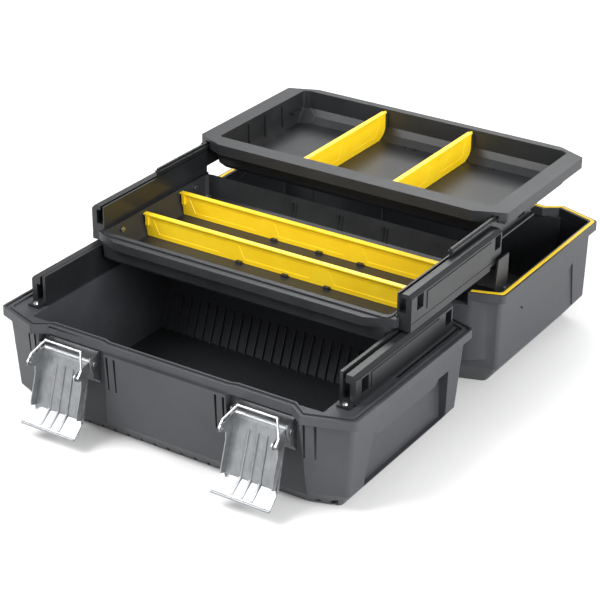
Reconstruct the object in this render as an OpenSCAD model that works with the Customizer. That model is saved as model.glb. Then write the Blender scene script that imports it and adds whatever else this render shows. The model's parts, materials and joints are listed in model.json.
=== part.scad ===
// Cantilever tool box, drawn open: base, hinged lid, a middle tray on rails and a
// top tray on slides, two pull-down latches and a folding handle.
// Millimetres. Origin at the middle of the flat underside of the base.
// X runs across the front, Y from front to back, Z up.

/* [Shells] */
// Length of the base and lid rims across the front
box_length = 446; // [420:470]
// Depth of the base and lid rims from front to back
box_depth = 273; // [262:290]
// Height of the base up to its rim
base_height = 114; // [108:122]
// Height of the lid from its top panel to its rim
lid_height = 121.7; // [118:128]
// Length of each corner chamfer along the front
chamfer_length = 53; // [48:58]
// Length of each corner chamfer along the side
chamfer_width = 18; // [14:20]
// Height of the rim band round both shells
rim_band = 10; // [8:11]
// Distance of the seal from the outer edge of the rim
seal_outer = 2.6; // [2.4:4.4]
// Width of the seal
seal_width = 3.6; // [2.4:4]
// Width of the flat on top of the rim
rim_width = 9; // [8.6:9.8]
// How far the walls stand in below the rim band
wall_inset = 6.5; // [6:7]
// How far the walls stand in where the bottom bevel starts
foot_inset = 12; // [11:13]
// How far the edge of the flat underside stands in
bottom_inset = 27; // [25:29]
// Height of the bottom bevel
bevel_height = 20; // [17:23]
// How far the lid walls stand in where their bottom bevel starts
lid_foot = 8; // [7.6:9]
// Height of the bottom bevel of the lid
lid_bevel = 26; // [24:27]
// Thickness of the floor of the base
base_floor = 4.5; // [4:5]
// Thickness of the top panel of the lid
lid_panel = 2.6; // [2.2:2.6]
// Thickness of the lid walls
lid_wall = 3.2; // [2.6:3.6]
// How far the rear wall of the base rises above its rim between the rails
wall_rise = 15.7; // [13:15.7]

/* [Front] */
// Distance from the rim of the base to the wall of its latch bays
bay_depth = 16; // [15:17]
// Depth of the same bays in the lid
lid_bay = 12; // [11:12]
// Length of each latch bay along the front
bay_width = 89; // [86:94]

/* [Hinge] */
// Distance of the hinge axis behind the rear rim of the base
hinge_reach = 17.8; // [17:19]
// Outer radius of the hinge knuckles
knuckle_radius = 6.5; // [6:7]
// Radius of the hinge pins
pin_radius = 2.5; // [2:3]
// Radial running clearance of pins in turning bores
running_gap = 0.05; // [0.03:0.08]

/* [Rails] */
// Width of the shelf outside each rail
side_shelf = 19.5; // [19:21]
// Width of the rails
rail_width = 18.5; // [18:20]
// Depth of the shelf below the rim
shelf_depth = 2; // [1.5:3]
// Height of the base rails
rail_height = 33; // [32:36]
// Height of the middle tray rails
upper_height = 41.3; // [40:44]
// How far each tray runs out on the one below it
tray_travel = 108.7; // [104:110]
// How far the top tray runs out on its slides
top_travel = 112.7; // [110:114]
// Width of the square windows in the rails
window_width = 13; // [10:15]

/* [Trays] */
// Height of the middle tray
middle_height = 31; // [30:33]
// Height of the skirt round the top tray
skirt_height = 12.6; // [12:14]
// Gap between a tray and what it passes over
tray_gap = 0.8; // [0.6:1.2]
// Gap between a tray and its rails
side_gap = 0.5; // [0.3:0.8]
// Thickness of the tray floors
tray_floor = 2.2; // [1.8:2.6]
// Thickness of the dividers
divider_sheet = 2.4; // [2:3]

/* [Latches] */
// Thickness of the latch sheet
latch_sheet = 1.2; // [1:1.3]
// Radius of the bail wire
wire_radius = 1.2; // [1:1.2]
// Radius of the rolled barrel on top of the lever
barrel_radius = 4.6; // [4:4.8]
// Radius of the lever pin
lever_pin_radius = 1.5; // [1.3:1.6]

/* [Handle] */
// Half the length of the handle pocket
pocket_half = 72; // [66:80]
// Radius of the handle grip
grip_radius = 8; // [7:8.5]
// Radius of the handle pins
handle_pin_radius = 2.5; // [2:2.8]

/* [Hidden] */

fine = 0.1;
front = -box_depth / 2;
back = box_depth / 2;
rim_gap = 0.3;
hinge_y = back + hinge_reach;
hinge_z = (base_height + lid_height + rim_gap) / 2;
rim_bottom = base_height - rim_band;
raised_wall = base_height + wall_rise;
lid_front = 2 * hinge_y - back;
lid_back = 2 * hinge_y - front;
lid_middle = 2 * hinge_y;
lid_band = lid_height - rim_band;
seal_inner = seal_outer + seal_width;
lowered_wall = 2 * hinge_z - raised_wall - rim_gap;
chamfer_start = box_length / 2 - chamfer_length;
bay_outer = chamfer_start - 5;
bay_inner = bay_outer - bay_width;
latch_x = (bay_inner + bay_outer) / 2 + 1.5;

// Rails: outer and inner face, web beside the channel and far side of the channel
rail_outer = box_length / 2 - side_shelf;
rail_inner = rail_outer - rail_width;
rail_web = rail_inner + 3.5;
rail_channel = rail_outer - 6.5;
rail_middle = rail_web + 6.5;
rail_foot = base_height - shelf_depth;
rail_top = rail_foot + rail_height;
rail_crest = rail_top + 2.1;
upper_foot = rail_crest + rim_gap;
upper_top = upper_foot + upper_height;
upper_channel = upper_top - 21.2;
rail_front = front + 46.8;
rail_back = back - 29.8;
tray_rail_front = front + 44.3 + tray_travel;
tray_rail_back = back - 32.2 + tray_travel;
wall_half = rail_inner - 1;
notch_half = rail_inner - 0.5;

// Trays
middle_bottom = raised_wall + tray_gap;
middle_rim = middle_bottom + middle_height;
middle_half = rail_inner - side_gap;
middle_front = front + 24.3 + tray_travel;
middle_back = back - 36.7 + tray_travel;
middle_screw = middle_rim - 6.5;
slide_foot = upper_channel + 0.5;
slide_front = front + 39.1 + 2 * tray_travel;
slide_back = back - 37.9 + 2 * tray_travel;
slide_head = slide_foot + 24.3;
skirt = upper_top + 1;
top_rim = skirt + skirt_height;
top_bottom = middle_rim + 1.6 + tray_gap - 0.3;
top_half = rail_outer - side_gap;
top_front = front + 16.2 + 2 * tray_travel + top_travel;
top_back = back - 37.1 + 2 * tray_travel + top_travel;

grey = [0.30, 0.31, 0.33];
black = [0.07, 0.07, 0.08];
yellow = [1.00, 0.84, 0.12];
zinc = [0.72, 0.73, 0.72];
steel = [0.62, 0.63, 0.65];

// Unit vector along v
function unit2(v) = v / norm(v);

// Outline with every corner replaced by an arc of radius r in n steps
function rounded(pts, r, n = 3) = [
  for (i = [0 : len(pts) - 1])
    let (
      b = pts[i],
      u = unit2(pts[(i + len(pts) - 1) % len(pts)] - b),
      v = unit2(pts[(i + 1) % len(pts)] - b),
      half = acos(u * v) / 2,
      m = b + unit2(u + v) * r / sin(half),
      p = b + u * r / tan(half) - m,
      q = b + v * r / tan(half) - m,
      turn = sign(p[0] * q[1] - p[1] * q[0]) * (180 - 2 * half)
    )
    for (k = [0 : n])
      m + [
        p[0] * cos(turn * k / n) - p[1] * sin(turn * k / n),
        p[0] * sin(turn * k / n) + p[1] * cos(turn * k / n)
      ]
];

// Rectangle with chamfered corners, brought in by d on every side
function chamfered(hx, hy, cx, cy, d) =
  let (
    k = cy * hx + cx * (hy - cy) - d * norm([cx, cy]),
    x = hx - d,
    y = hy - d,
    ex = (k - cx * y) / cy,
    ey = (k - cy * x) / cx
  )
  [[x, -ey], [x, ey], [ex, y], [-ex, y], [-x, ey], [-x, -ey], [-ex, -y], [ex, -y]];

function box_outline(d) =
  rounded(chamfered(box_length / 2, box_depth / 2, chamfer_length, chamfer_width, d), 6);

// Flat plate of an outline between two heights
module slab(points, z0, z1) {
  translate([0, 0, z0])
    linear_extrude(z1 - z0)
      polygon(points);
}

// Rectangle in the XY plane
function rect(x0, x1, y0, y1) = [[x0, y0], [x1, y0], [x1, y1], [x0, y1]];

// Block between two corners
module block(a, b) {
  translate(a)
    cube(b - a);
}

// Profile in (x, z) run along Y
module along_y(y0, y1) {
  translate([0, y1, 0])
    rotate([90, 0, 0])
      linear_extrude(y1 - y0)
        children();
}

// Profile in (y, z) run along X
module along_x(x0, x1) {
  translate([x0, 0, 0])
    rotate([90, 0, 90])
      linear_extrude(x1 - x0)
        children();
}

// Round bar along X
module bar_x(x0, x1, y, z, r, n = 32) {
  translate([x0, y, z])
    rotate([0, 90, 0])
      cylinder(h = x1 - x0, r = r, $fn = n);
}

// Round bar between two points
module rod(a, b, r) {
  v = b - a;
  translate(a)
    rotate([0, acos(v[2] / norm(v)), atan2(v[1], v[0])])
      cylinder(h = norm(v), r = r, $fn = 20);
}

module mirrored() {
  mirror([1, 0, 0])
    children();
}

module both() {
  children();
  mirrored()
    children();
}

// Front steps of the rim: shallow in the middle, deeper in the two bays
module front_steps(d) {
  translate([0, d])
    polygon([
      [-chamfer_start - 2, front - 9], [-chamfer_start + 2, front + 1],
      [-bay_outer + 13, front + 12], [-bay_inner - 8, front + 12],
      [-bay_inner, front + 9.5], [bay_inner, front + 9.5],
      [bay_inner + 8, front + 12], [bay_outer - 13, front + 12],
      [chamfer_start - 2, front + 1], [chamfer_start + 2, front - 9]
    ]);
}

module rim_outline(d) {
  difference() {
    polygon(box_outline(d));
    front_steps(d);
  }
}

// Outer body of either shell, rim up, bays at the front
module shell_body(height, bay, foot, bevel) {
  difference() {
    hull() {
      slab(box_outline(bottom_inset), 0, fine);
      slab(box_outline(foot), bevel, bevel + fine);
      slab(box_outline(wall_inset), height - rim_band, height - rim_band + fine);
    }
    both() {
      // Latch bay between the middle panel and the corner pillar
      along_y(front - 1, front + bay)
        polygon([
          [bay_inner, height], [bay_inner + 4, 9],
          [bay_outer + 6.5, 9], [bay_outer - 3, height]
        ]);
      // Pairs of upright slots beside the bay
      for (x = [bay_inner - 12, bay_inner - 2.5, bay_outer + 4, bay_outer + 15])
        along_y(front - 1, front + (x > bay_outer + 10 ? bay - 2 : bay - 5))
          polygon([
            [x - 1.2, height - 53], [x + 0.6, height - 53],
            [x + 1.5, height - 13], [x - 1.5, height - 13]
          ]);
    }
  }
  translate([0, 0, height - rim_band])
    linear_extrude(rim_band)
      rim_outline(0);
}

// Recess in the outside of a side wall, between two corner pillars
module side_recess(face, low, top) {
  along_x(face, box_length / 2 + 1)
    polygon([
      [-71, top + 7], [-68, top + 5], [-58, top], [55, top], [60, top + 6],
      [82, top + 6], [87, 19], [87, low], [-81, low], [-81, 27]
    ]);
}

// Groove or seal that follows the rim between two insets
module rim_track(outer, inner, z0, z1) {
  translate([0, 0, z0])
    linear_extrude(z1 - z0)
      difference() {
        rim_outline(outer);
        rim_outline(inner);
      }
}

// ---- Base ----

module base_cavity() {
  hull() {
    slab(rect(7 - rail_inner, rail_inner - 7, front + 25, back - 31.5), base_floor, base_floor + fine);
    slab(rect(5 - rail_inner, rail_inner - 5, front + 23, back - 16.5), 45, 45 + fine);
    slab(rect(2 - rail_inner, rail_inner - 2, front + 21, back - rim_width), base_height, raised_wall + 1);
  }
}

// Space inside a double side wall, open from below
module side_pocket(y0, y1, face) {
  along_y(y0, y1)
    polygon([
      [rail_inner + 2, -1], [rail_inner + 7, -1], [face - 3, 17], [face - 3, 73],
      [face + 5.5, 76], [face + 5.5, rail_foot - 5], [rail_inner + 2, rail_foot - 5]
    ]);
}

knuckle_x = rail_inner - 73;

module base_knuckles() {
  for (x = [knuckle_x, knuckle_x + 28])
    difference() {
      union() {
        bar_x(x, x + 14, hinge_y, hinge_z, knuckle_radius, 40);
        along_x(x, x + 14)
          polygon([
            [back - 1, raised_wall - 1.7], [back - 1, rim_bottom + 2],
            [hinge_y, hinge_z - knuckle_radius], [hinge_y, hinge_z + knuckle_radius]
          ]);
      }
      bar_x(x - 1, x + 15, hinge_y, hinge_z, pin_radius);
    }
}

side_face = box_length / 2 - 20;
arm_x = rail_outer + 1.8;
rib_count = floor((rail_inner - 17) / 12);
arm_front = lid_front + 23.7;
arm_rear = 2 * hinge_y - arm_front - 1.3;

module base_shell() {
  color(grey) {
    difference() {
      union() {
        shell_body(base_height, bay_depth, foot_inset, bevel_height);
        // Rear wall carried up between the rails
        block([-wall_half, back - rim_width, rim_bottom], [wall_half, back, raised_wall]);
      }
      base_cavity();
      // Space behind the middle panel of the front
      block([-70, front + 16, 15], [70, front + 26, rim_bottom - 1]);
      // Shelf inside the rim
      translate([0, 0, rail_foot])
        linear_extrude(shelf_depth + 1)
          difference() {
            rim_outline(rim_width);
            translate([-notch_half, back - rim_width - 1])
              square([2 * notch_half, 20]);
          }
      // Groove in the rim for the seal of the lid
      difference() {
        rim_track(seal_outer - 0.4, seal_inner + 0.4, base_height - 1.8, base_height + 1);
        block([-wall_half, 0, 0], [wall_half, back + 1, 200]);
      }
      both() {
        side_recess(side_face, 16, 71);
        for (y = [-70, -30, 10])
          side_pocket(y, y + 36, side_face);
        side_pocket(48, 80, side_face);
        side_pocket(-108, -84, side_face);
        // Slot for the lid arm
        block([arm_x - 1, -16, rim_bottom - 4], [arm_x + 3.7, arm_rear + 2, base_height + 1]);
        block([arm_x - 5.3, 48, 73], [arm_x + 3.7, arm_rear + 0.5, rail_foot - 4]);
        block([arm_x - 1, 48, 73], [arm_x + 3.7, arm_rear + 0.5, rail_foot + 1]);
        for (x = rivet_places(rivet_step))
          translate([x, bay_wall, rivet_z])
            rivet_hole(1);
      }
      // Short slanted notches along the front bottom edge
      for (i = [0 : 10])
        translate([-114 + 17.3 * i, front + bottom_inset - 2, -1])
          rotate([30, 0, 20])
            cube([2, 6, 9]);
    }
    both()
      base_knuckles();
    // Upright ribs on the rear slope
    for (i = [-rib_count : rib_count])
      along_x(12 * i - 1, 12 * i + 1)
        polygon([
          [back - 34.5, base_floor - 1], [back - 24.5, base_floor - 1],
          [back - 12.5, 46], [back - 19, 46]
        ]);
  }
}

module rail_windows(y0, y1, z) {
  for (y = [y0 + 11.5, y1 - 15.5])
    block([rail_channel - 0.5, y, z], [rail_outer + 2, y + window_width, z + 16]);
}

module base_rail_right() {
  y0 = rail_front;
  y1 = rail_back;
  color(black) {
    difference() {
      union() {
        along_y(y0, y1)
          polygon([
            [rail_inner, rail_foot], [rail_outer, rail_foot],
            [rail_outer, rail_top - 4], [rail_outer - 3.7, rail_top],
            [rail_web + 3.5, rail_top], [rail_web + 3.5, rail_top - 9],
            [rail_channel, rail_top - 9], [rail_channel, rail_foot + 6],
            [rail_web, rail_foot + 6], [rail_web, rail_crest], [rail_inner, rail_crest]
          ]);
        block([rail_inner + 3, y0 - 10, rail_foot], [rail_outer - 1.5, y0, rail_foot + 3]);
        block([rail_inner + 3, y1, rail_foot], [rail_outer - 1.5, y1 + 8.4, rail_foot + 3]);
        block([rail_outer - 1, y0 + 30, rail_foot + 9], [rail_outer + 0.8, y1 - 30, rail_top - 7]);
      }
      rail_windows(y0, y1, rail_foot + 10);
      for (z = [rail_foot + 4, rail_top - 4.5])
        block([rail_outer - 0.7, y0 - 1, z], [rail_outer + 1, y1 + 1, z + 1]);
      for (y = [y0 - 5, y1 + 5])
        translate([rail_middle, y, rail_foot - 1])
          cylinder(h = 5, r = 1.6, $fn = 24);
    }
  }
}

module base_rail_left() {
  mirrored()
    base_rail_right();
}

module screw_up(z) {
  translate([0, 0, z - 3])
    cylinder(h = 3, r = 1.6, $fn = 24);
  difference() {
    translate([0, 0, z])
      cylinder(h = 1.8, r1 = 3.2, r2 = 2.4, $fn = 24);
    translate([-0.4, -2, z + 1])
      cube([0.8, 4, 1]);
    translate([-2, -0.4, z + 1])
      cube([4, 0.8, 1]);
  }
}

module base_rail_screws() {
  color(zinc)
    both()
      for (y = [rail_front - 5, rail_back + 5])
        translate([rail_middle, y, 0])
          screw_up(rail_foot + 3);
}

module hinge_pin_right() {
  color(steel) {
    bar_x(knuckle_x - 1.5, knuckle_x + 57.5, hinge_y, hinge_z, pin_radius);
    bar_x(knuckle_x - 3, knuckle_x - 0.5, hinge_y, hinge_z, pin_radius + 1.4);
  }
}

module hinge_pin_left() {
  mirrored()
    hinge_pin_right();
}

// ---- Latches: drawn at x = 0 and moved to each bay ----

lever_y = front + 5;
lever_z = 90;
bail_y = front - 22;
bail_z = 85;
bay_wall = front + bay_depth;
rivet_radius = 2;
rivet_step = 18;
rivet_z = 80;
keeper_step = 10;
keeper_z = 2 * hinge_z - 138;

function rivet_places(step) = [latch_x - step, latch_x + step];

module latch_bracket() {
  color(zinc)
    difference() {
      union() {
        block([-33.5, bay_wall - 1.5, 63], [33.5, bay_wall, 100]);
        for (x = [-33.7, 32.2])
          along_x(x, x + 1.5)
            polygon([
              [bay_wall - 0.5, 100], [front + 6, 98], [front - 1, 99], [front - 1.5, 93],
              [front - 0.5, 86], [front + 3, 80], [front + 3, 73], [front + 9, 70],
              [bay_wall - 0.5, 63]
            ]);
      }
      bar_x(-40, 40, lever_y, lever_z, lever_pin_radius + running_gap);
      for (x = [-rivet_step, rivet_step])
        translate([x, bay_wall, rivet_z])
          rivet_hole(1);
    }
}

module lever_sheet() {
  intersection() {
    along_x(-40, 40)
      polygon([
        [front + 1.2, 91], [front - 17, 31], [front - 35, 17.5],
        [front - 34.2, 16.4], [front - 16, 30], [front + 2.6, 90]
      ]);
    along_y(front - 50, front + 20)
      polygon([[-31, 95], [-31, 85], [-33.5, 31], [-35, 17], [-35, 10],
        [35, 10], [35, 17], [33.5, 31], [31, 85], [31, 95]]);
  }
}

module latch_lever() {
  color(zinc)
    difference() {
      union() {
        lever_sheet();
        bar_x(-31, 31, lever_y, lever_z, barrel_radius, 40);
        bar_x(-35, 35, front - 35, 17.6, 1.5, 24);
        for (x = [-31.2, 30])
          along_x(x, x + latch_sheet)
            polygon([
              [front + 5, 94], [front - 8, 91.5], [front - 23, 88.6], [front - 25.4, 86.5],
              [front - 25.4, 83], [front - 22.5, 81], [front - 14, 77], [front - 14.4, 68],
              [front - 23.8, 38], [front - 23.5, 34], [front - 17.5, 31.5], [front + 2, 88]
            ]);
        for (x = [-11, 0, 11]) {
          rod([x, front - 2.1, 80], [x * 1.06, front - 16.4, 33], 1.6);
          translate([x * 1.06, front - 16.4, 33])
            sphere(r = 1.8, $fn = 20);
          rod([x * 1.06, front - 16.4, 33], [x * 1.1, front - 32.4, 19.8], 1.55);
        }
      }
      bar_x(-40, 40, lever_y, lever_z, lever_pin_radius);
      bar_x(-40, 40, bail_y, bail_z, wire_radius + running_gap);
    }
}

module lever_pin() {
  color(steel) {
    bar_x(-35, 35, lever_y, lever_z, lever_pin_radius);
    for (x = [-35.5, 34.3])
      bar_x(x, x + 1.2, lever_y, lever_z, lever_pin_radius + 1.2);
  }
}

module bail() {
  top_y = front - 3.4;
  top_z = 105;
  knee_y = bail_y + 6;
  knee_z = bail_z + 6.5;
  bend = wire_radius + 0.15;
  color(steel) {
    both() {
      bar_x(28.6, 33.2, bail_y, bail_z, wire_radius, 20);
      translate([33.2, bail_y, bail_z])
        sphere(r = bend, $fn = 20);
      rod([33.2, bail_y, bail_z], [33.2, knee_y, knee_z], wire_radius);
      translate([33.2, knee_y, knee_z])
        sphere(r = bend, $fn = 20);
      rod([33.2, knee_y, knee_z], [23.4, top_y, top_z], wire_radius);
      translate([23.4, top_y, top_z])
        sphere(r = bend, $fn = 20);
    }
    bar_x(-23.4, 23.4, top_y, top_z, wire_radius, 20);
  }
}

// Hook plate on the lid that the bail pulls down on, drawn in the open lid
module latch_keeper() {
  face = lid_back - lid_bay;
  top = 2 * hinge_z;
  color(zinc)
    difference() {
      along_x(-17, 17)
        polygon([
          [face, top - 146], [face, top - 127.4], [lid_back - 10.5, top - 125],
          [lid_back - 10.5, top - 107.2], [lid_back + 15.6, top - 107.2],
          [lid_back + 16.4, top - 114], [lid_back + 15, top - 114],
          [lid_back + 14, top - 109], [lid_back - 9, top - 109],
          [lid_back - 9, top - 126], [face + 1.5, top - 128.5], [face + 1.5, top - 146]
        ]);
      for (x = [-keeper_step, keeper_step])
        translate([x, face, keeper_z])
          rivet_hole(-1);
    }
}

module rivet_hole(toward) {
  rotate([90 * toward, 0, 0])
    translate([0, 0, -2])
      cylinder(h = 6, r = rivet_radius, $fn = 24);
}

module rivet(toward) {
  rotate([90 * toward, 0, 0]) {
    translate([0, 0, -2])
      cylinder(h = 3.5, r = rivet_radius, $fn = 24);
    translate([0, 0, 1.5])
      cylinder(h = 1.2, r1 = 3.6, r2 = 2.2, $fn = 24);
  }
}

module latch_bracket_right() {
  translate([latch_x, 0, 0])
    latch_bracket();
}

module latch_bracket_left() {
  mirrored()
    latch_bracket_right();
}

module latch_rivets() {
  color(steel)
    both()
      for (x = rivet_places(rivet_step))
        translate([x, bay_wall, rivet_z])
          rivet(1);
}

module latch_lever_right() {
  translate([latch_x, 0, 0])
    latch_lever();
}

module latch_lever_left() {
  mirrored()
    latch_lever_right();
}

module lever_pin_right() {
  translate([latch_x, 0, 0])
    lever_pin();
}

module lever_pin_left() {
  mirrored()
    lever_pin_right();
}

module bail_right() {
  translate([latch_x, 0, 0])
    bail();
}

module bail_left() {
  mirrored()
    bail_right();
}

module latch_keeper_right() {
  translate([latch_x, 0, 0])
    latch_keeper();
}

module latch_keeper_left() {
  mirrored()
    latch_keeper_right();
}

module keeper_rivets() {
  color(steel)
    both()
      for (x = rivet_places(keeper_step))
        translate([x, lid_back - lid_bay, keeper_z])
          rivet(-1);
}

// ---- Lid, lying open behind the base ----

// Puts something drawn with its front at -Y into the open lid
module in_lid() {
  translate([0, lid_middle, 0])
    mirror([0, 1, 0])
      children();
}

grip_y = lid_back - 92;
handle_y = lid_back - 128;
handle_z = 6;
deep_end = lid_back - 113;

module lid_cavity() {
  difference() {
    hull() {
      slab(box_outline(bottom_inset + 1.8), lid_panel, lid_panel + fine);
      slab(box_outline(lid_foot + lid_wall + 0.6), lid_bevel, lid_bevel + fine);
      slab(box_outline(wall_inset + lid_wall), lid_band, lid_band + fine);
    }
    // Latch bays seen from inside
    both()
      block([bay_inner - 4, front, 0], [bay_outer + 7, front + lid_bay + 2.8, lid_height]);
  }
}

flush_foot = 38;

// Plan of the flush wall: it follows the rim as far as x1 and runs back into the wall
function flush_outline(d, x1, y1, x2, y2) = [
  [-x1 - 13, lid_front + y1], [-x1, lid_front + d + (x1 - chamfer_start) * chamfer_width / chamfer_length],
  [-chamfer_start, lid_front + d], [chamfer_start, lid_front + d],
  [x1, lid_front + d + (x1 - chamfer_start) * chamfer_width / chamfer_length],
  [x1 + 13, lid_front + y1], [x1 + 13, lid_front + y1 + 1.5], [x2, lid_front + y2],
  [-x2, lid_front + y2], [-x1 - 13, lid_front + y1 + 1.5]
];

module lid_knuckles() {
  for (x = [knuckle_x + 14.4, knuckle_x + 42.4])
    difference() {
      union() {
        bar_x(x, x + 13.2, hinge_y, hinge_z, knuckle_radius, 40);
        along_x(x, x + 13.2)
          polygon([
            [lid_front + 0.9, lowered_wall - 1.1], [lid_front + 0.9, lowered_wall - 9],
            [hinge_y - 4.8, hinge_z - 4.4], [hinge_y + 1.7, hinge_z + 6.2]
          ]);
      }
      bar_x(x - 1, x + 15, hinge_y, hinge_z, pin_radius + running_gap);
    }
}

module lid_shell() {
  color(grey) {
    difference() {
      union() {
        in_lid() {
          difference() {
            shell_body(lid_height, lid_bay, lid_foot, lid_bevel);
            lid_cavity();
            // Open inside of the rim
            translate([0, 0, lid_band - 1])
              linear_extrude(rim_band + 2)
                rim_outline(rim_width - 0.6);
            both()
              side_recess(box_length / 2 - 9.2, 16, 78);
          }
        }
        // Flush wall on the hinge side
        slab(flush_outline(0.6, rail_inner + 5, 19.4, rail_inner + 2, 17.9), flush_foot, lid_band + 1);
        along_x(-chamfer_start, chamfer_start)
          polygon([
            [lid_front + 0.6, flush_foot], [lid_front + lid_foot + 0.2, lid_bevel + 1],
            [lid_front + 12, lid_bevel + 1], [lid_front + 12, flush_foot]
          ]);
        // Lowered edge between the knuckles
        block([-notch_half, lid_front + 5, lowered_wall - 4],
          [notch_half, lid_front + 9.8, lowered_wall]);
        // Housing of the handle pocket
        block([-pocket_half - 3, deep_end, 1], [pocket_half + 3, lid_back - 78, 24.6]);
        block([-pocket_half - 3, lid_back - 140, 1], [pocket_half + 3, deep_end + 1, 13]);
        // Ledges for the arms
        both()
          block([arm_x - 0.3, arm_front + 0.2, lid_height - 12],
            [arm_x + 9.7, arm_front + 30.2, lid_height - 4.7]);
      }
      // Room behind the flush wall
      slab([
        [-rail_inner - 2, lid_front + 9.8], [0.5 - chamfer_start, lid_front + 3.6],
        [chamfer_start - 0.5, lid_front + 3.6], [rail_inner + 2, lid_front + 9.8],
        [rail_inner + 2, lid_front + 21], [-rail_inner - 2, lid_front + 21]
      ], flush_foot + 3, lowered_wall - 4);
      intersection() {
        in_lid()
          slab(box_outline(lid_foot + lid_wall - 1), flush_foot - 0.5, flush_foot + 4);
        block([-rail_inner - 2, lid_front, flush_foot - 1],
          [rail_inner + 2, lid_front + 21, flush_foot + 5]);
      }
      along_x(0.5 - chamfer_start, chamfer_start - 0.5)
        polygon([
          [lid_front + 3.6, flush_foot + 3.1], [lid_front + 11.8, lid_bevel + 5],
          [lid_front + 14, lid_bevel + 5], [lid_front + 14, flush_foot + 3.1]
        ]);
      block([-rail_inner - 2, lid_front + 9.8, lowered_wall - 5],
        [rail_inner + 2, lid_front + 21, lowered_wall + 1]);
      // Wall cut down between the rails
      block([-notch_half, lid_front - 1, lowered_wall], [notch_half, lid_front + 30, 200]);
      // Handle pocket
      block([-pocket_half, deep_end, -1], [pocket_half, lid_back - 81, 22]);
      block([-pocket_half, lid_back - 137, -1], [pocket_half, deep_end + 1, 10.4]);
      bar_x(-pocket_half - 2.5, pocket_half + 2.5, handle_y, handle_z, handle_pin_radius);
      // Groove for the seal
      in_lid()
        difference() {
          rim_track(seal_outer, seal_inner, lid_height - 2.5, lid_height + 1);
          block([-notch_half - 1.5, 0, 0], [notch_half + 1.5, back + 1, 200]);
        }
      both() {
        translate([arm_x + 4.6, arm_front + 18.2, lid_height - 8])
          cylinder(h = 6, r = 1.6, $fn = 24);
        for (x = rivet_places(keeper_step))
          translate([x, lid_back - lid_bay, keeper_z])
            rivet_hole(-1);
      }
    }
    both()
      lid_knuckles();
  }
}

module lid_seal() {
  color(yellow)
    in_lid()
      difference() {
        rim_track(seal_outer, seal_inner, lid_height - 2.5, lid_height + 0.8);
        block([-notch_half - 1.5, 0, 0], [notch_half + 1.5, back + 1, 200]);
      }
}

module lid_arm_right() {
  top = lid_height - 4.7;
  color(black)
    difference() {
      union() {
        along_x(arm_x, arm_x + 2.5)
          polygon([
            [arm_front, top], [arm_front + 28.7, top], [arm_front + 28.7, top + 40],
            [arm_front + 4.2, top + 40], [arm_front, top + 13]
          ]);
        block([arm_x, arm_front + 1.2, top], [arm_x + 7.3, arm_front + 28.7, top + 2]);
      }
      translate([arm_x + 4.6, arm_front + 18.2, top - 1])
        cylinder(h = 5, r = 1.6, $fn = 24);
    }
}

module lid_arm_left() {
  mirrored()
    lid_arm_right();
}

module lid_arm_screws() {
  color(zinc)
    both()
      translate([arm_x + 4.6, arm_front + 18.2, lid_height - 4.7]) {
        translate([0, 0, -3])
          cylinder(h = 5, r = 1.6, $fn = 24);
        translate([0, 0, 2])
          cylinder(h = 1.4, r1 = 2.1, r2 = 1.8, $fn = 24);
      }
}

module handle() {
  color(black)
    difference() {
      union() {
        bar_x(-pocket_half + 4, pocket_half - 4, grip_y, 10, grip_radius, 48);
        for (x = [-pocket_half + 1, pocket_half - 11]) {
          along_x(x, x + 10)
            polygon([
              [handle_y, handle_z - 4.2], [grip_y, 2], [grip_y + 2, 17],
              [grip_y - 9, 14], [grip_y - 20, 10.2], [handle_y, handle_z + 4.2]
            ]);
          bar_x(x, x + 10, handle_y, handle_z, 4.2);
        }
      }
      bar_x(-pocket_half, pocket_half, handle_y, handle_z, handle_pin_radius + running_gap);
    }
}

module handle_pins() {
  color(steel)
    both()
      bar_x(pocket_half - 14, pocket_half + 2.5, handle_y, handle_z, handle_pin_radius);
}

// ---- Middle tray, rolled out to the rear ----

module middle_rim_plate(z0, z1) {
  slab([
    [25.5 - middle_half, middle_front], [middle_half - 25.5, middle_front],
    [middle_half + 5.5, middle_front + 14], [middle_half + 5.5, middle_front + 19.5],
    [middle_half, middle_front + 19.5], [middle_half, middle_back - 6],
    [middle_half - 6, middle_back], [6 - middle_half, middle_back],
    [-middle_half, middle_back - 6], [-middle_half, middle_front + 19.5],
    [-middle_half - 5.5, middle_front + 19.5], [-middle_half - 5.5, middle_front + 14]
  ], z0, z1);
}

// Plan of the middle tray brought in by d at the sides, and by a and b at front and rear
function middle_plan(d, a, b) =
  rect(d - middle_half, middle_half - d, middle_front + a, middle_back - b);

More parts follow.
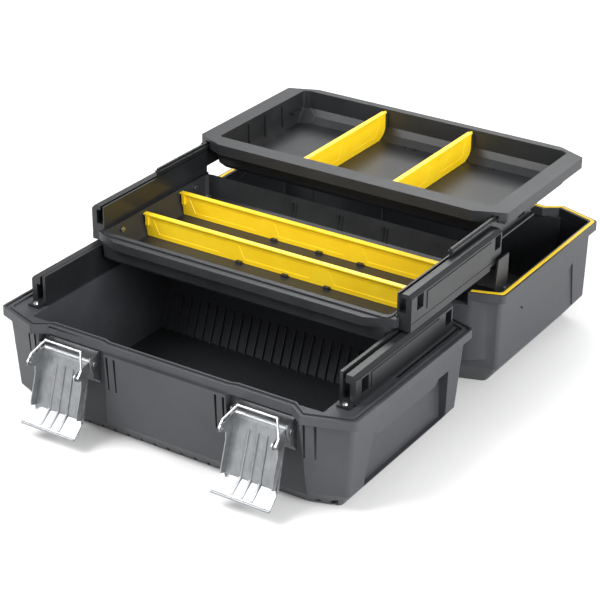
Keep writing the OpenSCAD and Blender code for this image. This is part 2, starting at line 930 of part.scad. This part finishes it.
module middle_tray() {
  floor_top = middle_bottom + tray_floor;
  color(grey)
    difference() {
      union() {
        hull() {
          slab(rounded(middle_plan(5.5, 12.5, 6.5), 8), middle_bottom, middle_bottom + fine);
          slab(rounded(middle_plan(1, 8.3, 2.5), 8), middle_bottom + 4.5, middle_bottom + 4.6);
          slab(rounded(middle_plan(0.5, 7.4, 0.5), 8), middle_rim - 9.5, middle_rim - 8.5);
        }
        middle_rim_plate(middle_rim - 10, middle_rim);
        slab(rounded(middle_plan(1, 9, 0.8), 8), middle_rim - 1, middle_rim + 1.6);
      }
      // Room inside
      hull() {
        slab(rounded(middle_plan(7.5, 16.5, 9.5), 6), floor_top, floor_top + fine);
        slab(rounded(middle_plan(5, 14.5, 5.5), 6), floor_top + 6.3, floor_top + 6.4);
        slab(rounded(middle_plan(3, 15, 3.5), 6), middle_rim + 2, middle_rim + 4);
      }
      // Hollow under the front band
      block([29.5 - middle_half, middle_front + 2.5, middle_rim - 11],
        [middle_half - 29.5, middle_front + 5.5, middle_rim - 2.5]);
      both()
        for (y = screw_places)
          bar_x(middle_half - 4.5, middle_half + 5.5, y, middle_screw, screw_radius, 24);
    }
  color(grey) {
    // Upright guides in pairs on the front and rear walls
    for (x = [-58, 4, 63])
      for (s = [-3.4, 1.4]) {
        block([x + s, middle_back - 5.7, middle_bottom + 1],
          [x + s + 2, middle_back - 3, middle_rim - 3.5]);
        block([x + s, middle_front + 14, middle_bottom + 1],
          [x + s + 2, middle_front + 17, middle_rim - 3.5]);
      }
    // Clips on the floor beside both dividers
    for (x = [-53, 7, 61])
      for (y = long_dividers)
        for (s = [-6, 2])
          block([x, y + s, middle_bottom + 1], [x + 7, y + s + 4, floor_top + 3]);
  }
}

long_dividers = [middle_front + 86, middle_front + 156];
screw_places = [middle_front + 43.5, middle_back - 28.5];
screw_radius = 1.6;

module tray_rail_right() {
  y0 = tray_rail_front;
  y1 = tray_rail_back;
  color(black)
    difference() {
      union() {
        along_y(y0, y1)
          polygon([
            [middle_half, upper_foot], [rail_outer, upper_foot],
            [rail_outer, upper_top - 4], [rail_outer - 4, upper_top],
            [rail_web + 3.2, upper_top], [rail_web + 3.2, upper_top - 4.7],
            [rail_channel, upper_top - 4.7], [rail_channel, upper_channel],
            [rail_web, upper_channel], [rail_web, upper_top], [rail_inner + 1.6, upper_top],
            [rail_inner + 1.6, middle_rim + 1], [middle_half, middle_rim + 1]
          ]);
        // Tongue that runs in the channel of the base rail
        along_y(y0 + 3, y1 - 108.5)
          polygon([
            [rail_web + 0.5, upper_foot + 1], [rail_web + 0.5, rail_top - 14],
            [rail_channel - 0.5, rail_top - 14], [rail_channel - 0.5, rail_top - 11.5],
            [rail_web + 3, rail_top - 11.5], [rail_web + 3, upper_foot + 1]
          ]);
        block([rail_outer - 1, y0 + 32, upper_foot + 14.6],
          [rail_outer + 0.8, y1 - 25, upper_foot + 34.6]);
      }
      rail_windows(y0, y1, upper_foot + 20.6);
      block([rail_outer - 0.7, y0 - 1, upper_foot + 8.6], [rail_outer + 1, y1 + 1, upper_foot + 9.4]);
      // Rear corner stepped to pass the rim of the lid
      block([rail_inner - 2, y1 - 24, upper_foot - 1], [rail_outer + 1, y1 + 1, upper_foot + 4]);
      block([rail_inner - 2, y1 - 10.4, upper_foot - 1], [rail_outer + 1, y1 + 1, upper_foot + 11]);
      for (y = screw_places)
        bar_x(middle_half - 4.5, middle_half + 5.5, y, middle_screw, screw_radius, 24);
    }
}

module tray_rail_left() {
  mirrored()
    tray_rail_right();
}

module tray_rail_screws() {
  color(zinc)
    both()
      for (y = screw_places) {
        bar_x(middle_half - 4.5, middle_half + 5.5, y, middle_screw, screw_radius, 24);
        bar_x(middle_half - 6.1, middle_half - 4.2, y, middle_screw, 3, 24);
      }
}

// Divider standing across the middle tray
module long_divider(y) {
  z0 = middle_bottom + tray_floor + 0.2;
  top = middle_rim - 1.5;
  low = middle_half - 8;
  high = middle_half - 3.7;
  color(yellow)
    difference() {
      union() {
        along_y(y - divider_sheet / 2, y + divider_sheet / 2)
          polygon([[-low, z0], [low, z0], [high, top], [-high, top]]);
        block([-high, y - 3.5, top - 1.6], [high, y + 3.5, top]);
        both()
          block([low - 2.5, y - 3.5, z0 + 13.1], [low + 1.5, y + 3.5, top]);
      }
      // Shallow panels pressed into both faces
      for (x = [-118, -2, 114])
        for (s = [-1, 1])
          along_y(y + s * (divider_sheet + 0.2) / 2 - 0.6, y + s * (divider_sheet + 0.2) / 2 + 0.6)
            polygon([
              [x - 42, z0 + 5.1], [x + 42, z0 + 5.1], [x + 50, top - 6], [x - 50, top - 6]
            ]);
    }
}

module long_divider_front() {
  long_divider(long_dividers[0]);
}

module long_divider_rear() {
  long_divider(long_dividers[1]);
}

// ---- Slides ----

module slide_right() {
  stem = rail_web + 0.4;
  face = rail_web + 2.8;
  color(black)
    difference() {
      along_y(slide_front, slide_back)
        polygon([
          [stem, slide_foot], [rail_channel - 1, slide_foot], [rail_channel - 1, slide_foot + 2.5],
          [face, slide_foot + 2.5], [face, slide_head], [face + 2, slide_head],
          [face + 2, slide_head + 2.7], [face, slide_head + 2.7], [face, slide_head + 5.7],
          [stem, slide_head + 5.7], [stem, slide_head + 2.7], [stem - 2, slide_head + 2.7],
          [stem - 2, slide_head], [stem, slide_head]
        ]);
      for (y = [slide_front + 24, slide_back - 40])
        block([stem - 1, y, slide_foot + 6], [face + 1, y + 16, slide_foot + 16]);
      // Rear corner cut to pass the wall of the lid
      block([stem - 1, slide_back - 9, slide_foot - 1], [rail_channel, slide_back + 1, slide_foot + 6]);
    }
}

module slide_left() {
  mirrored()
    slide_right();
}

// ---- Top tray, carried over the open lid ----

top_chamfer_length = 35.5;
top_chamfer_width = 15.4;
short_dividers = [-64, 55];

module top_outline(d) {
  translate([0, (top_front + top_back) / 2])
    polygon(rounded(
      chamfered(top_half, (top_back - top_front) / 2, top_chamfer_length, top_chamfer_width, d), 3));
}

// Plan of the tub: brought in by a and b at front and rear, rear corners cut by c
function tub_plan(half, a, b, c) = [
  [-half, top_front + a], [half, top_front + a], [half, top_back - b - c / 2],
  [half - c, top_back - b], [c - half, top_back - b], [-half, top_back - b - c / 2]
];

module top_tray() {
  half = rail_inner + 0.5;
  floor_top = top_bottom + tray_floor;
  color(grey)
    difference() {
      union() {
        difference() {
          translate([0, 0, skirt])
            linear_extrude(top_rim - skirt)
              top_outline(0);
          // Hollow under the rim
          difference() {
            translate([0, 0, skirt - 1])
              linear_extrude(top_rim - 2.6 - skirt + 1)
                top_outline(2.6);
            block([-half, top_front + 19.2, 0], [half, top_back - 7.5, 300]);
          }
          // Passages of the slides through the skirt
          both()
            for (y = [top_front - 1, top_back - 16])
              block([rail_web - 2.2, y, skirt - 1], [rail_web + 5.4, y + 17, slide_head + 6.1]);
        }
        // Tub
        hull() {
          slab(rounded(tub_plan(half - 6, 25.2, 22.5, 14), 6), top_bottom, top_bottom + fine);
          slab(rounded(tub_plan(half - 1, 20.7, 14, 19), 6), top_bottom + 5.4, top_bottom + 5.5);
          slab(rounded(tub_plan(half - 0.3, 19.5, 8, 10), 5), top_bottom + 13.4, top_bottom + 13.5);
          slab(rounded(tub_plan(half, 19.2, 7.5, 8), 5), skirt + 1, skirt + 2);
        }
        // Lips that hook under the heads of the slides
        both() {
          block([rail_web - 5.5, top_front + 12.2, skirt], [rail_web, top_back - 16.5, skirt + 2.2]);
          block([rail_web + 3.2, top_front + 12.2, skirt], [top_half - 1, top_back - 16.5, skirt + 2.2]);
        }
      }
      // Room inside
      hull() {
        slab(rounded(tub_plan(half - 8, 27.2, 24.5, 14), 5), floor_top, floor_top + fine);
        slab(rounded(tub_plan(half - 4.5, 22.7, 14.7, 17), 5), floor_top + 6.2, floor_top + 6.3);
        slab(rounded(tub_plan(half - 4.2, 22.5, 10.2, 9), 4), floor_top + 14.2, floor_top + 14.3);
        slab(rounded(tub_plan(half - 4, 22.3, 10, 7), 4), top_rim + 1, top_rim + 2);
      }
      // Slots under the skirt
      both()
        for (i = [0 : 6])
          block([half - 0.9, top_front + 34.2 + 25 * i, skirt - 6.2],
            [half + 1.5, top_front + 46.2 + 25 * i, skirt - 2.2]);
    }
  color(grey) {
    // Guides on the side, front and rear walls
    both()
      for (y = [83.2, 118.2, 156.2])
        block([half - 6, top_front + y - 1.2, floor_top + 2.2],
          [half - 3.5, top_front + y + 1.2, top_rim - 4.3]);
    both()
      block([half - 9.5, top_back - 43.5, skirt - 9.7], [half - 3.5, top_back - 25.5, skirt - 7.2]);
    for (x = short_dividers)
      for (s = [-3.6, 1.6]) {
        block([x + s, top_back - 13, floor_top + 12.2], [x + s + 2, top_back - 9.5, top_rim - 4.3]);
        block([x + s, top_front + 21.7, floor_top + 2.2], [x + s + 2, top_front + 25.2, top_rim - 4.3]);
      }
    // Nubs on the floor
    for (x = [-31, -17, 90])
      for (y = [61.2, 189.2])
        block([x, top_front + y, top_bottom + 1], [x + 6, top_front + y + 3, floor_top + 2]);
  }
}

// Divider standing from front to back in the top tray
module short_divider(x) {
  z0 = top_bottom + tray_floor + 0.3;
  top = top_rim - 2.3;
  color(yellow)
    difference() {
      union() {
        along_x(x - divider_sheet / 2, x + divider_sheet / 2)
          polygon([
            [top_front + 28.2, z0], [top_back - 25.5, z0], [top_back - 15.7, z0 + 5.9],
            [top_back - 11, z0 + 13.9], [top_back - 10.5, top], [top_front + 22.9, top],
            [top_front + 23.6, z0 + 11.9]
          ]);
        block([x - 3.2, top_front + 26.2, top - 1.6], [x + 3.2, top_back - 14, top]);
      }
      for (y = [top_front + 72.2, top_back - 61.5])
        for (s = [-1, 1])
          along_x(x + s * (divider_sheet + 0.2) / 2 - 0.6, x + s * (divider_sheet + 0.2) / 2 + 0.6)
            polygon([
              [y - 28, z0 + 7.9], [y + 28, z0 + 7.9], [y + 35, top - 7], [y - 35, top - 7]
            ]);
    }
}

module short_divider_left() {
  short_divider(short_dividers[0]);
}

module short_divider_right() {
  short_divider(short_dividers[1]);
}

base_shell();
base_rail_left();
base_rail_right();
base_rail_screws();
latch_bracket_left();
latch_bracket_right();
latch_rivets();
hinge_pin_left();
hinge_pin_right();
lid_shell();
lid_seal();
lid_arm_left();
lid_arm_right();
lid_arm_screws();
latch_keeper_left();
latch_keeper_right();
keeper_rivets();
handle_pins();
handle();
middle_tray();
tray_rail_left();
tray_rail_right();
tray_rail_screws();
long_divider_front();
long_divider_rear();
slide_left();
slide_right();
top_tray();
short_divider_left();
short_divider_right();
latch_lever_left();
latch_lever_right();
lever_pin_left();
lever_pin_right();
bail_left();
bail_right();
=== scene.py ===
"""Cantilever tool box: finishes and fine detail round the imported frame."""

import json
import math

import bmesh
import bpy
from mathutils import Matrix, Vector


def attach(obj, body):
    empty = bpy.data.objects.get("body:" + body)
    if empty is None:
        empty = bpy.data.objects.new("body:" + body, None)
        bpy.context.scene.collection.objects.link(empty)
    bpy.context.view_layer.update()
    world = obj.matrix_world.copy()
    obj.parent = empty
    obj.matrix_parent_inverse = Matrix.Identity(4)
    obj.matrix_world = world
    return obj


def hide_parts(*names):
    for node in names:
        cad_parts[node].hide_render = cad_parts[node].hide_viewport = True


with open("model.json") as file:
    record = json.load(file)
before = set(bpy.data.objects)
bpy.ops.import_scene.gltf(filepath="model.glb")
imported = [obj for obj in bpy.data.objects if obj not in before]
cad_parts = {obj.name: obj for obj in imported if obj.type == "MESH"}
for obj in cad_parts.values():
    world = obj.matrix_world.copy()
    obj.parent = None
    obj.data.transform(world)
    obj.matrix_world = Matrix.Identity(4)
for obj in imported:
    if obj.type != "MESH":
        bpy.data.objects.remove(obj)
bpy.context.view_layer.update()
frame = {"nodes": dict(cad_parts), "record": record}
bpy.ops.object.select_all(action="DESELECT")

MM = 0.001
BODY_OF = {
    node: body
    for body, nodes in frame["record"]["behaviour"]["bodies"].items()
    for node in nodes
}


# ---- Materials ----

class Wire:
    """A socket of a finish, with arithmetic that adds Math nodes."""

    def __init__(self, finish, socket):
        self.finish = finish
        self.socket = socket

    def __add__(self, other):
        return self.finish.math("ADD", self, other)

    def __radd__(self, other):
        return self.finish.math("ADD", other, self)

    def __sub__(self, other):
        return self.finish.math("SUBTRACT", self, other)

    def __rsub__(self, other):
        return self.finish.math("SUBTRACT", other, self)

    def __mul__(self, other):
        return self.finish.math("MULTIPLY", self, other)

    def __rmul__(self, other):
        return self.finish.math("MULTIPLY", other, self)


class Finish:
    """A material with one Principled shader, built up by calls."""

    def __init__(self, name):
        self.material = bpy.data.materials.new(name)
        self.material.use_nodes = True
        self.tree = self.material.node_tree
        self.shader = self.tree.nodes["Principled BSDF"]
        self.place = self.node("ShaderNodeTexCoord", out="Object")

    def feed(self, socket, value):
        if isinstance(value, Wire):
            self.tree.links.new(value.socket, socket)
        else:
            socket.default_value = value

    def node(self, kind, settings=None, out=0, **inputs):
        made = self.tree.nodes.new(kind)
        for key, value in (settings or {}).items():
            setattr(made, key, value)
        for key, value in inputs.items():
            self.feed(made.inputs[key.replace("_", " ")], value)
        return Wire(self, made.outputs[out])

    def math(self, operation, a, b):
        made = self.tree.nodes.new("ShaderNodeMath")
        made.operation = operation
        self.feed(made.inputs[0], a)
        self.feed(made.inputs[1], b)
        return Wire(self, made.outputs[0])

    def mix(self, first, second, share):
        made = self.tree.nodes.new("ShaderNodeMix")
        made.data_type = "RGBA"
        self.feed(made.inputs[0], share)
        self.feed(made.inputs[6], first)
        self.feed(made.inputs[7], second)
        return Wire(self, made.outputs[2])

    def noise(self, size, detail=2.0, roughness=0.5, stretch=(1, 1, 1)):
        """Noise whose blobs are about size metres across, from 0 to 1."""
        place = self.place
        if stretch != (1, 1, 1):
            place = self.node("ShaderNodeMapping", Vector=self.place, Scale=stretch)
        return self.node("ShaderNodeTexNoise", Vector=place, Scale=1 / size,
                         Detail=detail, Roughness=roughness)

    def cells(self, size):
        return self.node("ShaderNodeTexVoronoi", {"feature": "SMOOTH_F1"},
                         Vector=self.place, Scale=1 / size)

    def ramp(self, value, low, high):
        """Value stretched so that low becomes 0 and high becomes 1."""
        return self.node("ShaderNodeMapRange", Value=value, **{"From_Min": low, "From_Max": high})

    def bump(self, height, distance, strength=1.0):
        normal = self.node("ShaderNodeBump", Height=height, Distance=distance, Strength=strength)
        self.feed(self.shader.inputs["Normal"], normal)

    def set(self, **values):
        for key, value in values.items():
            self.feed(self.shader.inputs[key.replace("_", " ")], value)
        return self


def grey(level):
    return (level, level, level, 1)


def moulded_plastic(name, dark, light, rough, grain=0.9, depth=0.10):
    """Fine spark-eroded grain over a plastic with a faint flow pattern."""
    f = Finish(name)
    flow = f.ramp(f.noise(0.05, 5, 0.62), 0.3, 0.72)
    fleck = f.ramp(f.noise(0.0011, 2), 0.35, 0.7)
    colour = f.mix(dark, light, flow * 0.62 + fleck * 0.38)
    pits = f.cells(grain * MM)
    f.bump(pits * 0.75 + f.noise(0.0004, 2) * 0.4, depth * MM, 0.55)
    scuff = f.ramp(f.noise(0.012, 6, 0.7, (1, 4, 1)), 0.46, 0.8)
    f.set(Base_Color=colour, Roughness=rough + flow * 0.08 + fleck * 0.05 - scuff * 0.07,
          Specular_IOR_Level=0.42)
    return f.material


def painted_shade_floor():
    """Pebbled plastic on the floor of the base, with painted shade: darker than the shell, and
    darkest in the hollows of the pebbles.
    """
    f = Finish("pebbled_painted_shade")
    pits = f.cells(1.7 * MM)
    f.bump(pits, 0.32 * MM, 0.8)
    # Painted shade: the floor colour is darker than the shell's, and darker still where the
    # pebble bump is low.
    f.set(Base_Color=f.mix((0.010, 0.011, 0.012, 1), (0.030, 0.032, 0.035, 1), pits),
          Roughness=0.62 - pits * 0.1, Specular_IOR_Level=0.3)
    return f.material


def yellow_plastic(name, rough):
    f = Finish(name)
    flow = f.ramp(f.noise(0.03, 4), 0.3, 0.7)
    f.bump(f.noise(0.0007, 2) * 0.5 + flow * 0.4, 0.05 * MM, 0.4)
    f.set(Base_Color=f.mix((0.98, 0.64, 0.010, 1), (1.0, 0.70, 0.020, 1), flow),
          Roughness=rough + flow * 0.08, Specular_IOR_Level=0.5)
    return f.material


def zinc_sheet():
    """Rolled sheet with a zinc coat: long rolling marks, spangle and small dents."""
    f = Finish("zinc_sheet")
    rolled = f.ramp(f.noise(0.0012, 4, 0.6, (1, 0.08, 0.08)), 0.3, 0.7)
    spangle = f.node("ShaderNodeTexVoronoi", {"feature": "F1"}, out="Color",
                     Vector=f.place, Scale=1 / 0.0045)
    tone = f.node("ShaderNodeRGBToBW", Color=spangle)
    blotch = f.ramp(f.noise(0.016, 5, 0.6), 0.3, 0.75)
    f.bump(rolled * 0.5 + blotch * 0.8, 0.05 * MM, 0.5)
    share = rolled * 0.3 + tone * 0.3 + blotch * 0.4
    f.set(Base_Color=f.mix((0.22, 0.23, 0.24, 1), (0.42, 0.43, 0.44, 1), share),
          Metallic=1.0, Roughness=0.32 + blotch * 0.14 + tone * 0.06)
    return f.material


def steel_wire():
    f = Finish("steel_wire")
    marks = f.ramp(f.noise(0.0008, 3, 0.6, (0.15, 1, 1)), 0.3, 0.7)
    f.bump(marks, 0.02 * MM, 0.4)
    f.set(Base_Color=f.mix((0.45, 0.46, 0.47, 1), (0.70, 0.71, 0.72, 1), marks),
          Metallic=1.0, Roughness=0.24 + marks * 0.14)
    return f.material


MATERIALS = {
    "shell_grey": moulded_plastic("shell_grey", (0.030, 0.032, 0.036, 1),
                                  (0.050, 0.053, 0.059, 1), 0.44),
    "rail_black": moulded_plastic("rail_black", (0.008, 0.009, 0.010, 1),
                                  (0.018, 0.019, 0.021, 1), 0.32, 0.6, 0.05),
    "divider_yellow": yellow_plastic("divider_yellow", 0.28),
    "seal_yellow": yellow_plastic("seal_yellow", 0.5),
    "zinc_sheet": zinc_sheet(),
    "steel": steel_wire(),
}
FLOOR_PAINTED_SHADE = painted_shade_floor()
TRAY_DARK = moulded_plastic("tray_dark", (0.013, 0.014, 0.016, 1), (0.027, 0.029, 0.032, 1), 0.38)
FINISH_OF_NODE = {"middle_tray": TRAY_DARK, "top_tray": TRAY_DARK}

# ---- Finished copies of the frame's pieces ----

SLOT_OF = {s["node"]: s["material_slot"] for s in frame["record"]["subparts"]}

# Edge radius of each kind of piece, in millimetres
EDGE = {"shell_grey": 0.8, "rail_black": 0.45, "divider_yellow": 0.35, "seal_yellow": 0.4,
        "zinc_sheet": 0.3, "steel": 0.2}
TRAY_EDGE = 0.6
HANDLE_EDGE = 1.2
SHARP_FROM = math.radians(28)
SMOOTH_BELOW = math.radians(32)
FLAT_BELOW = math.radians(0.05)
WELD = 0.002


def activate(piece):
    bpy.ops.object.select_all(action="DESELECT")
    piece.select_set(True)
    bpy.context.view_layer.objects.active = piece


def merged_copy(node, name):
    """A copy of a frame node with its loose triangles joined into flat faces."""
    source = frame["nodes"][node]
    mesh = source.data.copy()
    mesh.name = name
    mesh.materials.clear()
    piece = bpy.data.objects.new(name, mesh)
    bpy.context.scene.collection.objects.link(piece)
    shape = bmesh.new()
    shape.from_mesh(mesh)
    bmesh.ops.remove_doubles(shape, verts=shape.verts, dist=WELD * MM)
    bmesh.ops.dissolve_limit(shape, angle_limit=FLAT_BELOW, verts=shape.verts,
                             edges=shape.edges, delimit={"NORMAL"})
    shape.to_mesh(mesh)
    shape.free()
    for key in list(mesh.attributes.keys()):
        if key in mesh.attributes and key.startswith(("custom_normal", "UVMap")):
            mesh.attributes.remove(mesh.attributes[key])
    return piece


def finished(node, edge=None):
    """Stands for a frame node, with softened edges and its own finish."""
    piece = merged_copy(node, node + "_finished")
    slot = SLOT_OF[node]
    activate(piece)
    bevel = piece.modifiers.new("edge", "BEVEL")
    bevel.width = (EDGE[slot] if edge is None else edge) * MM
    bevel.segments = 2
    bevel.limit_method = "ANGLE"
    bevel.angle_limit = SHARP_FROM
    bevel.use_clamp_overlap = True
    bevel.miter_outer = "MITER_ARC"
    bpy.ops.object.modifier_apply(modifier=bevel.name)
    bpy.ops.object.shade_smooth_by_angle(angle=SMOOTH_BELOW)
    flats = piece.modifiers.new("flats", "WEIGHTED_NORMAL")
    flats.weight = 100
    flats.keep_sharp = True
    bpy.ops.object.modifier_apply(modifier=flats.name)
    piece.data.materials.append(FINISH_OF_NODE.get(node, MATERIALS[slot]))
    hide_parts(node)
    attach(piece, BODY_OF[node])
    return piece


EDGE_OF_NODE = {"middle_tray": TRAY_EDGE, "top_tray": TRAY_EDGE, "handle": HANDLE_EDGE}
pieces = {node: finished(node, EDGE_OF_NODE.get(node)) for node in sorted(frame["nodes"])}


def paint(piece, material, chosen):
    """Gives the faces that chosen(centre, normal) picks another material."""
    piece.data.materials.append(material)
    index = len(piece.data.materials) - 1
    for face in piece.data.polygons:
        if chosen(face.center, face.normal):
            face.material_index = index


# Painted shade: the floor inside the base gets the darker pebbled finish.
paint(pieces["base_shell"], FLOOR_PAINTED_SHADE,
      lambda c, n: n.z > 0.9 and c.z < 0.0055 and abs(c.x) < 0.179 and abs(c.y) < 0.113)

# ---- Camera, floor and light ----

CAMERA_PLACE = Vector((1.0257, -1.4870, 1.0487))
AZIMUTH, ELEVATION, ROLL = math.radians(32.429), math.radians(26.840), math.radians(0.693)
LENS = 114.63
SENSOR = 36
FLOOR_SIZE = 30
FLOOR_GAP = 0.4
AMBIENT = 0.58


def add_camera():
    back = Vector((math.sin(AZIMUTH) * math.cos(ELEVATION),
                   -math.cos(AZIMUTH) * math.cos(ELEVATION), math.sin(ELEVATION)))
    level = (-back).cross(Vector((0, 0, 1))).normalized()
    upright = level.cross(-back)
    right = level * math.cos(ROLL) + upright * math.sin(ROLL)
    up = upright * math.cos(ROLL) - level * math.sin(ROLL)
    data = bpy.data.cameras.new("camera")
    data.lens = LENS
    data.sensor_width = SENSOR
    camera = bpy.data.objects.new("camera", data)
    bpy.context.scene.collection.objects.link(camera)
    turn = Matrix((right, up, back)).transposed().to_4x4()
    camera.matrix_world = Matrix.Translation(CAMERA_PLACE) @ turn
    bpy.context.scene.camera = camera


def add_floor():
    """A plain pale floor, just below the part."""
    bpy.ops.mesh.primitive_plane_add(size=FLOOR_SIZE, location=(0, 0, -FLOOR_GAP * MM))
    floor = bpy.context.object
    floor.name = "floor"
    f = Finish("floor")
    f.set(Base_Color=grey(0.93), Roughness=0.9, Specular_IOR_Level=0.1)
    floor.data.materials.append(f.material)


def add_lamp(name, place, target, size, power):
    data = bpy.data.lights.new(name, "AREA")
    data.shape = "RECTANGLE"
    data.size, data.size_y = size
    data.energy = power
    lamp = bpy.data.objects.new(name, data)
    bpy.context.scene.collection.objects.link(lamp)
    lamp.location = place
    aim = Vector(target) - Vector(place)
    lamp.rotation_euler = aim.to_track_quat("-Z", "Y").to_euler()


def add_world():
    """White where the camera or glass looks past the part, and a softer light on it."""
    world = bpy.data.worlds.new("studio")
    bpy.context.scene.world = world
    world.use_nodes = True
    tree = world.node_tree
    background = tree.nodes["Background"]
    background.inputs["Color"].default_value = grey(1)
    ray = tree.nodes.new("ShaderNodeLightPath")
    seen = tree.nodes.new("ShaderNodeMath")
    seen.operation = "MAXIMUM"
    tree.links.new(ray.outputs["Is Camera Ray"], seen.inputs[0])
    tree.links.new(ray.outputs["Is Transmission Ray"], seen.inputs[1])
    level = tree.nodes.new("ShaderNodeMapRange")
    level.inputs["To Min"].default_value = AMBIENT
    level.inputs["To Max"].default_value = 1.0
    tree.links.new(seen.outputs[0], level.inputs["Value"])
    tree.links.new(level.outputs[0], background.inputs["Strength"])


add_camera()
add_floor()
add_world()
add_lamp("key", (-1.2, -1.4, 2.2), (0, 0.1, 0.1), (1.6, 1.2), 72)
add_lamp("fill", (2.6, -0.5, 1.1), (0, 0.1, 0.1), (1.4, 1.4), 85)
add_lamp("rear", (-0.6, 2.4, 1.9), (0, 0.2, 0.15), (2.0, 1.0), 34)

bpy.context.scene.view_settings.view_transform = "Standard"
